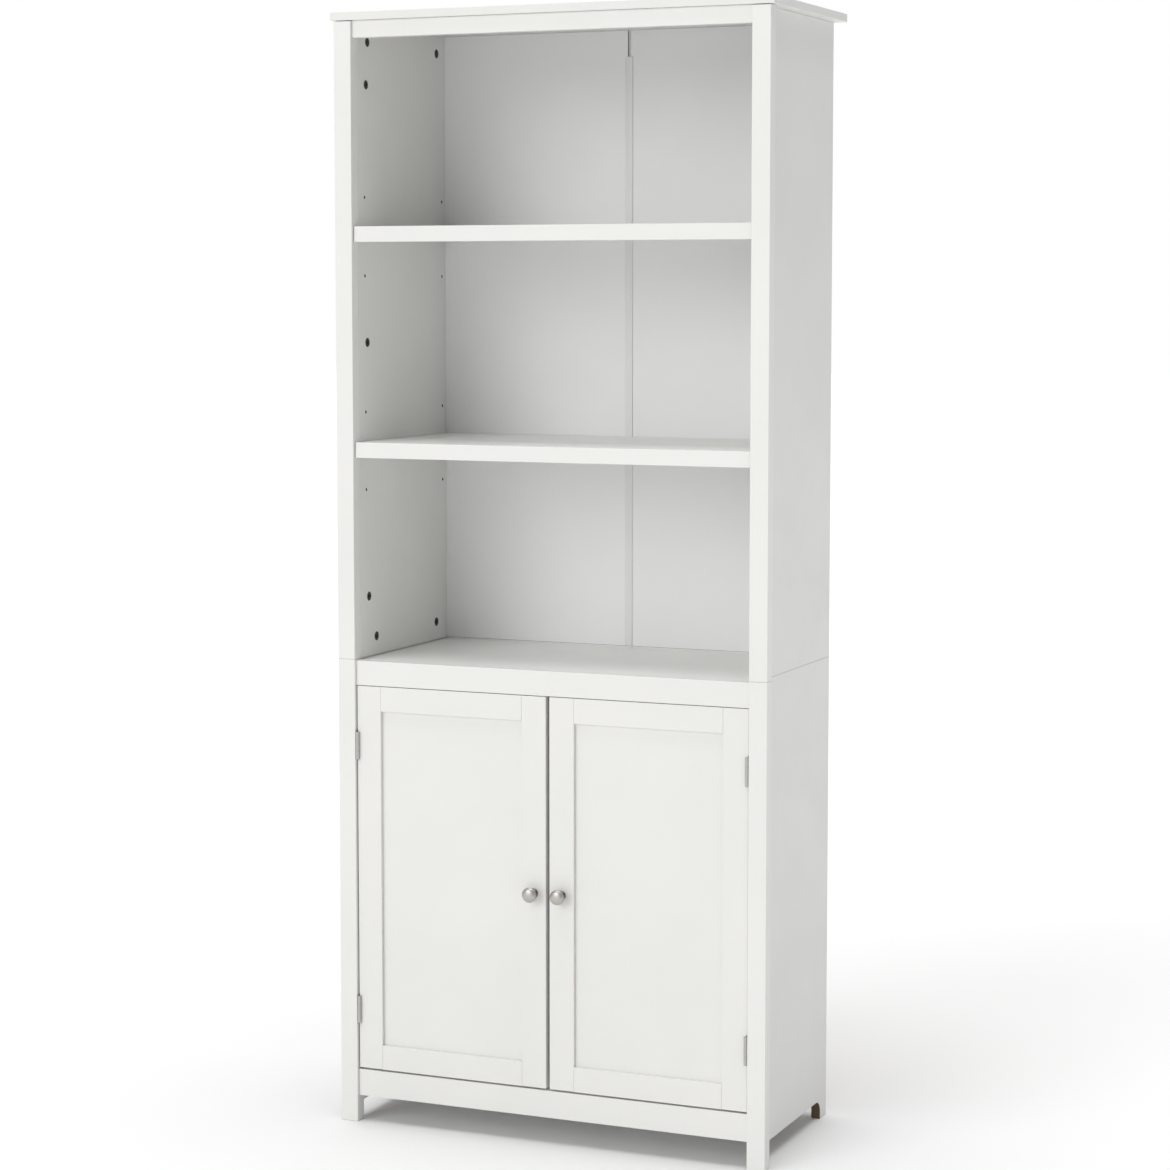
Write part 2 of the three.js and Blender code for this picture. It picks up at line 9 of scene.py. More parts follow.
import bmesh
import bpy
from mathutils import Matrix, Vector


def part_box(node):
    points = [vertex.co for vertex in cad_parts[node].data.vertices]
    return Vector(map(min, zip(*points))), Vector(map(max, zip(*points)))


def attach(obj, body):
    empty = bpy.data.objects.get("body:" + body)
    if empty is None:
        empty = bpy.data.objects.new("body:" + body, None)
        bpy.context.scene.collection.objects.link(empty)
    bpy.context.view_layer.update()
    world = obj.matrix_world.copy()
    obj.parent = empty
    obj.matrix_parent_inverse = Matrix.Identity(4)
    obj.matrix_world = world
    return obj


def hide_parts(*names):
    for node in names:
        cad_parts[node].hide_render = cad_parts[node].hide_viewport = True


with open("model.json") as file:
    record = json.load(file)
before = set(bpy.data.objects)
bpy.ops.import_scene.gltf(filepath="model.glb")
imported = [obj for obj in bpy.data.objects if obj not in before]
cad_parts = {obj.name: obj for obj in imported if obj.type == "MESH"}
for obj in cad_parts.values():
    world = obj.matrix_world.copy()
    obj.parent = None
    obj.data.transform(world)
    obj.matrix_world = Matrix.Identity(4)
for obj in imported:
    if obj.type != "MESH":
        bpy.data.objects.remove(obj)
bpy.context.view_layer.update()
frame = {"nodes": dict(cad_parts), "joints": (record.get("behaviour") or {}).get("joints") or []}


# Studio floor and surroundings. A wide sheet of white board on the ground, greyer near the
# bookcase as painted shade, and an even white room around it, brighter to the eye than it is as a light.
def new_material(name, metallic=0.0):
    """An empty node material with its node tree and its Principled shader."""
    material = bpy.data.materials.new(name)
    material.use_nodes = True
    tree = material.node_tree
    tree.nodes.clear()
    output = tree.nodes.new("ShaderNodeOutputMaterial")
    shader = tree.nodes.new("ShaderNodeBsdfPrincipled")
    shader.inputs["Metallic"].default_value = metallic
    tree.links.new(shader.outputs["BSDF"], output.inputs["Surface"])
    return material, tree, shader


def new_node(tree, kind, **settings):
    """A new node, with its inputs set by name."""
    node = tree.nodes.new(kind)
    for name, value in settings.items():
        node.inputs[name].default_value = value
    return node


def calculated(tree, operation, first, second, third=None):
    """A calculation with values; the second one may be a plain number."""
    node = tree.nodes.new("ShaderNodeMath")
    node.operation = operation
    tree.links.new(first, node.inputs[0])
    if isinstance(second, float):
        node.inputs[1].default_value = second
    else:
        tree.links.new(second, node.inputs[1])
    if third is not None:
        tree.links.new(third, node.inputs[2])
    return node.outputs[0]


def length_of(tree, vector):
    """The length of a vector."""
    node = tree.nodes.new("ShaderNodeVectorMath")
    node.operation = "LENGTH"
    tree.links.new(vector, node.inputs[0])
    return node.outputs["Value"]


def object_noise(tree, scale, detail=3.0, roughness=0.5, stretch=(1.0, 1.0, 1.0)):
    """Noise on Object coordinates; the scale is in features per metre."""
    place = tree.nodes.new("ShaderNodeTexCoord")
    mapping = new_node(tree, "ShaderNodeMapping", Scale=stretch)
    noise = new_node(tree, "ShaderNodeTexNoise", Scale=scale, Detail=detail, Roughness=roughness)
    tree.links.new(place.outputs["Object"], mapping.inputs["Vector"])
    tree.links.new(mapping.outputs["Vector"], noise.inputs["Vector"])
    return noise.outputs["Fac"]


def ramp(tree, value, dark, light, low=0.35, high=0.65):
    """A colour that follows a value from dark to light."""
    node = tree.nodes.new("ShaderNodeValToRGB")
    for end, position, colour in zip(node.color_ramp.elements, (low, high), (dark, light)):
        end.position = position
        end.color = (*colour, 1.0)
    tree.links.new(value, node.inputs["Fac"])
    return node.outputs["Color"]


def spread(tree, value, low, high, start=0.3, end=0.7):
    """A value that runs from start to end, as most of a noise does, spread from low to high."""
    node = tree.nodes.new("ShaderNodeMapRange")
    for name, limit in (("From Min", start), ("From Max", end), ("To Min", low), ("To Max", high)):
        node.inputs[name].default_value = limit
    tree.links.new(value, node.inputs["Value"])
    return node.outputs["Result"]


def coat(tree, shader, colour, roughness, surface=None):
    """Puts a finish on a shader: its colour, its roughness as a number or a value, and its relief."""
    tree.links.new(colour, shader.inputs["Base Color"])
    if isinstance(roughness, float):
        shader.inputs["Roughness"].default_value = roughness
    else:
        tree.links.new(roughness, shader.inputs["Roughness"])
    if surface is not None:
        tree.links.new(surface, shader.inputs["Normal"])


floor_reach = 40.0
painted_shade_reach = 3.5
floor_drop = 0.0002


def floor_finish():
    """White board with painted shade, greyer near the bookcase and whiter with distance, and a faint cloud in
    it.
    """
    material, tree, shader = new_material("white_floor")
    place = tree.nodes.new("ShaderNodeTexCoord")
    cloud = spread(tree, object_noise(tree, 1.5), -0.02, 0.02)
    away = length_of(tree, place.outputs["Object"])
    # Painted shade: the ramp runs from grey beside the bookcase to white far from it.
    painted_shade_fade = calculated(tree, "MULTIPLY_ADD", away, 1 / painted_shade_reach, cloud)
    coat(tree, shader, ramp(tree, painted_shade_fade, (0.84, 0.84, 0.838), (0.965, 0.965, 0.963), 0.1, 0.9), 0.75)
    return material


floor_mesh = bpy.data.meshes.new("floor")
floor_signs = ((-1, -1), (1, -1), (1, 1), (-1, 1))
floor_corners = [(x * floor_reach, y * floor_reach, -floor_drop) for x, y in floor_signs]
floor_mesh.from_pydata(floor_corners, [], [(0, 1, 2, 3)])
floor_mesh.materials.append(floor_finish())
floor = bpy.data.objects.new("floor", floor_mesh)
bpy.context.scene.collection.objects.link(floor)

room_light = 0.43
room_seen = 1.0
world = bpy.data.worlds.new("white_room")
bpy.context.scene.world = world
world.use_nodes = True
room = world.node_tree
room.nodes.clear()
room_output = room.nodes.new("ShaderNodeOutputWorld")
room_mix = room.nodes.new("ShaderNodeMixShader")
ray_kind = room.nodes.new("ShaderNodeLightPath")
lighting = new_node(room, "ShaderNodeBackground", Color=(0.985, 0.99, 1.0, 1.0), Strength=room_light)
backdrop = new_node(room, "ShaderNodeBackground", Color=(1.0, 1.0, 1.0, 1.0), Strength=room_seen)
room.links.new(ray_kind.outputs["Is Camera Ray"], room_mix.inputs["Fac"])
room.links.new(lighting.outputs["Background"], room_mix.inputs[1])
room.links.new(backdrop.outputs["Background"], room_mix.inputs[2])
room.links.new(room_mix.outputs["Shader"], room_output.inputs["Surface"])


# Studio lights. A wide soft key in front, a little to the left and 21 degrees up, throws light
# deep into the compartments and leaves the right side a shade darker. An even softer one
# straight overhead lights the floor, the shelves and the top.
def studio_light(name, energy, spread_degrees, comes_from, color):
    """A sun lamp; a wide spread makes its shadows soft."""
    lamp = bpy.data.lights.new(name, "SUN")
    lamp.energy = energy
    lamp.angle = math.radians(spread_degrees)
    lamp.color = color
    light = bpy.data.objects.new(name, lamp)
    light.rotation_mode = "QUATERNION"
    light.rotation_quaternion = Vector(comes_from).to_track_quat("Z", "Y")
    bpy.context.scene.collection.objects.link(light)


studio_light("key", energy=0.99, spread_degrees=36, comes_from=(-0.38, -1.0, 0.42), color=(1.0, 0.997, 0.99))
studio_light("overhead", energy=2.1, spread_degrees=50, comes_from=(0.0, 0.0, 1.0), color=(1.0, 1.0, 1.0))


# Camera. It stands to the right of the bookcase, chest high, and looks down by 5 degrees. The
# picture is 1170 pixels square, and its middle lies a little below the camera's own axis.
picture_size = 1170
sensor = 36.0
focal_pixels = 2917.7
camera_place = (1.8504, -4.3282, 1.3625)
camera_yaw = 0.4047
camera_pitch = -0.08934
centre_row = 549.9
camera_data = bpy.data.cameras.new("photo_camera")
camera_data.sensor_width = sensor
camera_data.lens = sensor * focal_pixels / picture_size
camera_data.shift_y = (centre_row - picture_size / 2) / picture_size
camera_data.clip_start = 0.1
camera_data.clip_end = 200.0
camera = bpy.data.objects.new("photo_camera", camera_data)
camera.location = camera_place
camera.rotation_euler = (math.pi / 2 + camera_pitch, 0.0, camera_yaw)
bpy.context.scene.collection.objects.link(camera)
bpy.context.scene.camera = camera
bpy.context.scene.view_settings.view_transform = "Standard"


# Painted boards: the top, the posts, the rails and the shelves. They are fibreboard with a
# satin white lacquer, machined with eased arrises and joined with cams and dowels, so the ends
# that butt stay crisp. The shelves get a lighter copy of the white as painted light, and the top
# and sides a greyer copy as painted shade.
def relief(tree, height, depth, below=None):
    """A bump of the given depth in metres, on top of another one if it is given."""
    node = new_node(tree, "ShaderNodeBump", Strength=1.0, Distance=depth)
    tree.links.new(height, node.inputs["Height"])
    if below is not None:
        tree.links.new(below, node.inputs["Normal"])
    return node.outputs["Normal"]


def lacquer(name, dark, light):
    """Satin paint with the faint orange peel of sprayed lacquer over the slow waves of the board."""
    material, tree, shader = new_material(name)
    colour = ramp(tree, object_noise(tree, 5.0, detail=4.0), dark, light)
    sheen = spread(tree, object_noise(tree, 22.0, detail=5.0), 0.34, 0.46)
    waves = relief(tree, object_noise(tree, 28.0, detail=1.0), 0.00006)
    peel = relief(tree, object_noise(tree, 620.0, detail=2.0), 0.000018, below=waves)
    coat(tree, shader, colour, sheen, peel)
    return material


def link_piece(name, mesh, body, slot, *replaced):
    """Puts a finished mesh into the scene, on its body, in place of the CAD nodes it stands for."""
    piece = bpy.data.objects.new(name, mesh)
    bpy.context.scene.collection.objects.link(piece)
    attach(piece, body)
    if replaced:
        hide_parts(*replaced)
    return piece


def mesh_of(name, shape):
    """The finished bmesh as a mesh."""
    mesh = bpy.data.meshes.new(name)
    shape.to_mesh(mesh)
    shape.free()
    return mesh


def merge_flat(shape):
    """Dissolves the edges and corners that lie inside flat faces."""
    bmesh.ops.dissolve_limit(
        shape,
        angle_limit=math.radians(1),
        use_dissolve_boundaries=False,
        verts=shape.verts,
        edges=shape.edges,
    )


def clean_copy(node):
    """A CAD node's mesh as a bmesh with its doubles merged and its flat faces whole."""
    shape = bmesh.new()
    shape.from_mesh(frame["nodes"][node].data)
    bmesh.ops.remove_doubles(shape, verts=shape.verts, dist=1e-6)
    merge_flat(shape)
    return shape


def planes(node, *sides):
    """Planes of a node's box, named by direction and axis: -x, +x, -y and so on."""
    low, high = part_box(node)
    axes = ["xyz".index(side[1]) for side in sides]
    return [(axis, (high if side[0] == "+" else low)[axis]) for axis, side in zip(axes, sides)]


shortest_eased = 0.004
plane_reach = 2e-5


def ease_edges(shape, crisp_planes, crisp_share):
    """Weights the long arrises for the bevel; those in a crisp plane get only a share of it."""
    weight = shape.edges.layers.float.new("bevel_weight_edge")
    for edge in shape.edges:
        if len(edge.link_faces) != 2 or edge.calc_face_angle() <= math.radians(50):
            continue
        sawn = any(face.material_index for face in edge.link_faces)
        eased = not sawn and edge.calc_length() >= shortest_eased
        edge.smooth = eased
        if not eased:
            continue
        held = any(
            all(abs(corner.co[axis] - level) < plane_reach for corner in edge.verts)
            for axis, level in crisp_planes
        )
        edge[weight] = crisp_share if held else 1.0


def bevelled(piece, width):
    """A rounded bevel on the weighted edges, with the flat faces kept flat in the light."""
    bevel = piece.modifiers.new("eased_edges", "BEVEL")
    bevel.width = width
    bevel.segments = 3
    bevel.limit_method = "WEIGHT"
    bevel.harden_normals = True
    return piece


def finished_piece(
    node, finish, ease, crisp=(), crisp_share=0.2, body="case", slot="painted_board", sawn=None, rebate=None
):
    """A CAD piece, copied with eased edges and a finish, and bare where it was sawn afterwards."""
    shape = clean_copy(node)
    if sawn:
        mark_sawn(shape, node)
    if rebate:
        cut_rebate(shape, node, **rebate)
    ease_edges(shape, planes(node, *crisp), crisp_share)
    for face in shape.faces:
        face.smooth = True
    mesh = mesh_of(node + "_painted", shape)
    for extra in ("custom_normal", "UVMap"):
        if extra in mesh.attributes:
            mesh.attributes.remove(mesh.attributes[extra])
    mesh.materials.append(finish)
    if sawn:
        mesh.materials.append(sawn)
    return bevelled(link_piece(node + "_painted", mesh, body, slot, node), ease)


case_white = lacquer("case_lacquer", (0.764, 0.761, 0.738), (0.787, 0.783, 0.76))
# Painted light: a lighter copy of the lacquer for the shelves. Painted shade: a greyer copy for the top and
# the sides.
shelf_white_painted_light = lacquer("shelf_lacquer_painted_light", (0.848, 0.846, 0.828), (0.868, 0.866, 0.848))
panel_white_painted_shade = lacquer("panel_lacquer_painted_shade", (0.735, 0.732, 0.711), (0.757, 0.754, 0.733))
arris = 0.0009
finished_piece("top_panel", panel_white_painted_shade, arris)
for side in ("left", "right"):
    finished_piece(f"upper_post_{side}", case_white, arris, crisp=("-z", "+z"), crisp_share=0.5)
    finished_piece(f"lower_post_{side}", case_white, arris, crisp=("+z",), crisp_share=0.5)
for rail in ("cabinet_rail", "apron"):
    finished_piece(rail, case_white, arris, crisp=("-x", "+x", "+y"))
finished_piece("top_rail", case_white, arris, crisp=("-x", "+x", "+y", "+z"), crisp_share=0.08)
for shelf_board in ("upper_shelf", "middle_shelf", "cabinet_top", "cabinet_floor"):
    finished_piece(shelf_board, shelf_white_painted_light, arris / 2, crisp=("-y",))
for lipping in ("upper_shelf_lipping", "middle_shelf_lipping"):
    finished_piece(lipping, case_white, arris, crisp=("+y",))
finished_piece("cabinet_shelf", shelf_white_painted_light, arris)


# Side panels. Lacquered board like the top, bored and sawn after painting: the shelf pins' holes,
# the cams' bores and the cut-away above the floor show the bare brown fibre. A small painted
# rebate along the lower panels' top inner edge makes the dark line beside the fixed shelf.
def raw_fibreboard():
    material, tree, shader = new_material("raw_fibreboard")
    speckle = object_noise(tree, 900.0, detail=4.0)
    colour = ramp(tree, speckle, (0.10, 0.063, 0.036), (0.21, 0.142, 0.085))
    coat(tree, shader, colour, 0.85, relief(tree, object_noise(tree, 700.0, detail=5.0), 0.0002))
    return material


cut_margin = 0.0003
corner_reach = 1e-5


def mark_sawn(shape, node):
    """Gives the second material to the faces of holes, grooves and notches, inside the node's box."""
    low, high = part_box(node)
    for face in shape.faces:
        centre = face.calc_center_median()
        if all(low[axis] + cut_margin < centre[axis] < high[axis] - cut_margin for axis in range(3)):
            face.material_index = 1


def cut_rebate(shape, node, height, depth):
    """Cuts a square rebate along the top inner edge of a side panel, from end to end."""
    low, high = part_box(node)
    inward = 1.0 if high.x < 0 else -1.0
    inner = high.x if inward > 0 else low.x
    wall = inner - inward * depth
    ledge = high.z - height
    whole = shape.verts[:] + shape.edges[:] + shape.faces[:]
    bmesh.ops.bisect_plane(shape, geom=whole, plane_co=(0.0, 0.0, ledge), plane_no=(0.0, 0.0, 1.0))
    above = [face for face in shape.faces if face.calc_center_median().z > ledge + cut_margin]
    edges = {edge for face in above for edge in face.edges}
    corners = {corner for face in above for corner in face.verts}
    top_part = above + list(edges) + list(corners)
    bmesh.ops.bisect_plane(shape, geom=top_part, plane_co=(wall, 0.0, 0.0), plane_no=(1.0, 0.0, 0.0))

    def in_rebate(place):
        return place.z > ledge - corner_reach and (place.x - wall) * inward > -corner_reach

    waste = [face for face in shape.faces if all(in_rebate(corner.co) for corner in face.verts)]
    bmesh.ops.delete(shape, geom=waste, context="FACES")

    def row(x, z):
        line = Vector((x, z))
        found = [corner for corner in shape.verts if (corner.co.xz - line).length < corner_reach]
        return sorted(found, key=lambda corner: corner.co.y)

    foot = row(wall, ledge)
    shape.faces.new(row(wall, high.z) + foot[::-1])
    shape.faces.new(foot + row(inner, ledge)[::-1])
    bmesh.ops.recalc_face_normals(shape, faces=shape.faces)
    merge_flat(shape)


sawn_edge = raw_fibreboard()
seam_rebate = {"height": 0.002, "depth": 0.003}
# The sides take the greyer copy of the lacquer, which is painted shade.
for side in ("left", "right"):
    finished_piece(f"upper_side_{side}", panel_white_painted_shade, arris / 2, sawn=sawn_edge)
    finished_piece(f"lower_side_{side}", panel_white_painted_shade, arris / 2, sawn=sawn_edge, rebate=seam_rebate)


# Back boards. Thin hardboard, smooth and white on the inner face. The outer face is bare
# brown fibre with the fine mesh pattern of the press screen.
def white_face():
    material, tree, shader = new_material("white_hardboard")
    colour = ramp(tree, object_noise(tree, 4.0, detail=4.0), (0.835, 0.84, 0.84), (0.86, 0.865, 0.865))
    sheen = spread(tree, object_noise(tree, 40.0), 0.42, 0.52)
    coat(tree, shader, colour, sheen, relief(tree, object_noise(tree, 300.0), 0.00003))
    return material


def screened_face():
    """Brown hardboard, pressed with the weave of a wire mesh."""
    material, tree, shader = new_material("bare_hardboard")
    mottle = object_noise(tree, 9.0, detail=8.0, roughness=0.7)
    colour = ramp(tree, mottle, (0.225, 0.14, 0.08), (0.265, 0.17, 0.10), 0.2, 0.8)
    place = tree.nodes.new("ShaderNodeTexCoord")
    weave = None
    for direction in ("X", "Z"):
        wires = new_node(tree, "ShaderNodeTexWave", Scale=160.0, Distortion=0.4)
        wires.bands_direction = direction
        tree.links.new(place.outputs["Object"], wires.inputs["Vector"])
        weave = relief(tree, wires.outputs["Fac"], 0.0001, below=weave)
    fibres = relief(tree, object_noise(tree, 420.0, detail=4.0), 0.00015, below=weave)
    coat(tree, shader, colour, 0.8, fibres)
    return material


hardboard_white = white_face()
hardboard_bare = screened_face()
back_boards = ("upper_back_left", "upper_back_right", "cabinet_back")
for node in back_boards:
    sheet = finished_piece(node, hardboard_white, ease=0.0002, slot="back_board")
    sheet.data.materials.append(hardboard_bare)
    for face in sheet.data.polygons:
        if face.normal.y > -0.5:
            face.material_index = 1


# Joint strip between the upper back boards: an extruded H of white plastic, pushed on from
# below, with its thin flanges over the edges of both boards.
def white_plastic(name):
    material, tree, shader = new_material(name)
    drawn = object_noise(tree, 260.0, detail=2.0, stretch=(1.0, 1.0, 0.01))
    colour = ramp(tree, drawn, (0.75, 0.75, 0.74), (0.79, 0.79, 0.78))
    coat(tree, shader, colour, 0.42, relief(tree, drawn, 0.00003))
    return material


finished_piece("back_joint_strip", white_plastic("strip_plastic"), ease=0.00035, slot="strip_plastic")


# Doors. Each is a frame of two stiles and two rails, grooved for a thin panel and glued at the
# corners, where a hairline shows between rail and stile. The paint is close to the case's, and
# the mortises for the hinges, cut after painting, show the bare fibre.
door_white = lacquer("door_lacquer", (0.757, 0.754, 0.728), (0.781, 0.776, 0.75))
for side in ("left", "right"):
    body = f"{side}_door"
    inner, outer = ("+x", "-x") if side == "left" else ("-x", "+x")
    finished_piece(f"{body}_hinge_stile", door_white, arris, crisp=(inner,), body=body, sawn=sawn_edge)
    finished_piece(f"{body}_lock_stile", door_white, arris, crisp=(outer,), body=body, sawn=sawn_edge)
    for rail in ("top_rail", "bottom_rail"):
        finished_piece(f"{body}_{rail}", door_white, arris, crisp=("-x", "+x"), crisp_share=0.1, body=body)
    finished_piece(f"{body}_panel", door_white, arris / 4, body=body)


# Fastener heads. Cam locks, screws and nails repeat all over the case, so node trees set them:
# a chamfered head at each point, turned at random about its own axis as a driver leaves it. All
# but the nails have a cross recess.
def node_input(tree, name, kind, value=None):
    socket = tree.interface.new_socket(name, in_out="INPUT", socket_type=kind)
    if value is not None:
        socket.default_value = value


def piece_tree(name, sizes):
    """A node tree that takes points, the piece's named sizes, its sides, a seed and a material."""
    tree = bpy.data.node_groups.new(name, "GeometryNodeTree")
    node_input(tree, "Geometry", "NodeSocketGeometry")
    for label, value in sizes:
        node_input(tree, label, "NodeSocketFloat", value)
    node_input(tree, "Sides", "NodeSocketInt", 24)
    node_input(tree, "Seed", "NodeSocketInt", 1)
    node_input(tree, "Material", "NodeSocketMaterial")
    tree.interface.new_socket("Geometry", in_out="OUTPUT", socket_type="NodeSocketGeometry")
    return tree, tree.nodes.new("NodeGroupInput").outputs


def set_on_points(tree, given, piece):
    """Sets the piece on every point along its facing, turned at random, as real mesh in its material."""
    nodes, links = tree.nodes, tree.links
    facing = nodes.new("GeometryNodeInputNamedAttribute")
    facing.data_type = "FLOAT_VECTOR"
    facing.inputs["Name"].default_value = "facing"
    aim = nodes.new("FunctionNodeAlignRotationToVector")
    aim.axis = "Z"
    links.new(facing.outputs["Attribute"], aim.inputs["Vector"])
    chance = nodes.new("FunctionNodeRandomValue")
    chance.data_type = "FLOAT"
    chance.inputs["Max"].default_value = math.tau
    links.new(given["Seed"], chance.inputs["Seed"])
    spin = new_node(tree, "FunctionNodeAxisAngleToRotation", Axis=(0.0, 0.0, 1.0))
    links.new(chance.outputs[1], spin.inputs["Angle"])
    turn = nodes.new("FunctionNodeRotateRotation")
    turn.rotation_space = "LOCAL"
    links.new(aim.outputs["Rotation"], turn.inputs["Rotation"])
    links.new(spin.outputs["Rotation"], turn.inputs["Rotate By"])
    placed = nodes.new("GeometryNodeInstanceOnPoints")
    links.new(given["Geometry"], placed.inputs["Points"])
    links.new(piece, placed.inputs["Instance"])
    links.new(turn.outputs["Rotation"], placed.inputs["Rotation"])
    real = nodes.new("GeometryNodeRealizeInstances")
    links.new(placed.outputs["Instances"], real.inputs["Geometry"])
    painted = nodes.new("GeometryNodeSetMaterial")
    links.new(real.outputs["Geometry"], painted.inputs["Geometry"])
    links.new(given["Material"], painted.inputs["Material"])
    result = nodes.new("NodeGroupOutput")
    links.new(painted.outputs["Geometry"], result.inputs["Geometry"])


def raised(tree, mesh, height):
    """The mesh, moved up by a height."""
    lift = tree.nodes.new("ShaderNodeCombineXYZ")
    tree.links.new(height, lift.inputs["Z"])
    move = tree.nodes.new("GeometryNodeTransform")
    tree.links.new(mesh, move.inputs["Geometry"])
    tree.links.new(lift.outputs["Vector"], move.inputs["Translation"])
    return move.outputs["Geometry"]


def cross_cut(tree, given, mesh):
    """Cuts a cross into the head, with one slot shallower so that no two floors lie in one plane."""
    nodes, links = tree.nodes, tree.links
    for length_axis, width_axis, depth_share in (("X", "Y", 1.0), ("Y", "X", 0.75)):
        size = nodes.new("ShaderNodeCombineXYZ")
        links.new(given["Recess length"], size.inputs[length_axis])
        links.new(given["Recess width"], size.inputs[width_axis])
        links.new(calculated(tree, "MULTIPLY", given["Recess depth"], 2 * depth_share), size.inputs["Z"])
        blade = nodes.new("GeometryNodeMeshCube")
        links.new(size.outputs["Vector"], blade.inputs["Size"])
        carve = nodes.new("GeometryNodeMeshBoolean")
        carve.operation = "DIFFERENCE"
        links.new(mesh, carve.inputs["Mesh 1"])
        links.new(raised(tree, blade.outputs["Mesh"], given["Head height"]), carve.inputs["Mesh 2"])
        mesh = carve.outputs["Mesh"]
    return mesh


def fastener_tree(name, recessed):
    """A chamfered head, with a cross in it if it is recessed, set on points."""
    sizes = [("Head radius", 0.003), ("Crown radius", 0.0025), ("Head height", 0.001)]
    if recessed:
        sizes += [("Recess length", 0.003), ("Recess width", 0.0006), ("Recess depth", 0.0008)]
    tree, given = piece_tree(name, sizes)
    head = tree.nodes.new("GeometryNodeMeshCone")
    tree.links.new(given["Sides"], head.inputs["Vertices"])
    tree.links.new(given["Crown radius"], head.inputs["Radius Top"])
    tree.links.new(given["Head radius"], head.inputs["Radius Bottom"])
    tree.links.new(given["Head height"], head.inputs["Depth"])
    mesh = head.outputs["Mesh"]
    set_on_points(tree, given, cross_cut(tree, given, mesh) if recessed else mesh)
    return tree


def smoothed(mesh, sharp_from):
    """Smooth shading, but for the edges that are sharper than the given angle in degrees."""
    mesh.shade_smooth()
    mesh.set_sharp_from_angle(angle=math.radians(sharp_from))
    return mesh


def grown_mesh(name, spots, tree, settings):
    """What a node tree makes of spots, as a plain mesh; each spot is a place and a facing."""
    points = bpy.data.meshes.new(name)
    points.from_pydata([place for place, _ in spots], [], [])
    facing = points.attributes.new("facing", "FLOAT_VECTOR", "POINT")
    for index, (_, way) in enumerate(spots):
        facing.data[index].vector = way
    seedling = bpy.data.objects.new(name, points)
    bpy.context.scene.collection.objects.link(seedling)
    growth = seedling.modifiers.new("nodes", "NODES")
    growth.node_group = tree
    for item in tree.interface.items_tree:
        if item.name in settings:
            growth[item.identifier] = settings[item.name]
    seedling.update_tag()
    depsgraph = bpy.context.evaluated_depsgraph_get()
    grown = bpy.data.meshes.new_from_object(seedling.evaluated_get(depsgraph), depsgraph=depsgraph)
    bpy.data.objects.remove(seedling)
    grown.name = name
    return smoothed(grown, sharp_from=35)


heads = fastener_tree("fastener_heads", recessed=True)


def head_mesh(name, spots, finish, tree=heads, **sizes):
    """One head for each spot; the spots are on the face that the head's underside rests on."""
    settings = {key.replace("_", " ").capitalize(): value for key, value in sizes.items()}
    return grown_mesh(name, spots, tree, {**settings, "Material": finish})


def fastener_heads(name, spots, finish, body="case", **sizes):
    return link_piece(name, head_mesh(name, spots, finish, **sizes), body, "screw_steel")


# Cam locks. Dark zinc discs in the round bores on the inner faces of the sides: three hold
# each post, and the others hold the top panel and join the two sections.
def metal(name, dark, light, rough, metallic=1.0, grain=260.0):
    """Plated metal with a slight cloud in its colour and fine scratches in its gloss."""
    material, tree, shader = new_material(name, metallic)
    colour = ramp(tree, object_noise(tree, grain), dark, light)
    gloss = spread(tree, object_noise(tree, 4 * grain), *rough)
    coat(tree, shader, colour, gloss, relief(tree, object_noise(tree, 9 * grain), 0.00001))
    return material


cam_bore_depth = 0.0117
cam_setback = 0.030
post_end_distance = 0.098
cutaway_height = 0.032
top_cam_setbacks = (0.0357, 0.031)
seam_cam_setbacks = (0.0557, 0.041)


def cam_spots(node, rows):
    """A spot on the floor of each bore, facing into the case, for its y and z."""
    low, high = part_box(node)
    inward = 1.0 if low.x < 0 else -1.0
    bore_floor = (high.x if low.x < 0 else low.x) - inward * cam_bore_depth
    return [((bore_floor, y, z), (inward, 0.0, 0.0)) for y, z in rows]


def post_cam_rows(y, foot, head):
    """The y and z of the three cams that hold a post between two levels."""
    levels = (foot + post_end_distance, (foot + head) / 2, head - post_end_distance)
    return [(y, level) for level in levels]


zinc = metal("dark_zinc", (0.055, 0.05, 0.045), (0.09, 0.083, 0.075), (0.45, 0.6), metallic=0.85)
cams = []
for side in ("left", "right"):
    low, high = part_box(f"upper_side_{side}")
    rows = post_cam_rows(low.y + cam_setback, low.z, high.z)
    for level, (front, back) in (
        (high.z - cam_setback, top_cam_setbacks),
        (low.z + cam_setback, seam_cam_setbacks),
    ):
        rows += [(low.y + front, level), (high.y - back, level)]
    cams += cam_spots(f"upper_side_{side}", rows)
    low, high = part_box(f"lower_side_{side}")
    cams += cam_spots(f"lower_side_{side}", post_cam_rows(low.y + cam_setback, cutaway_height, high.z))
fastener_heads(
    "cam_locks", cams, zinc,
    head_radius=0.0073, crown_radius=0.0071, head_height=0.0113,
    recess_length=0.0085, recess_width=0.002, recess_depth=0.004,
    sides=32, seed=7,
)


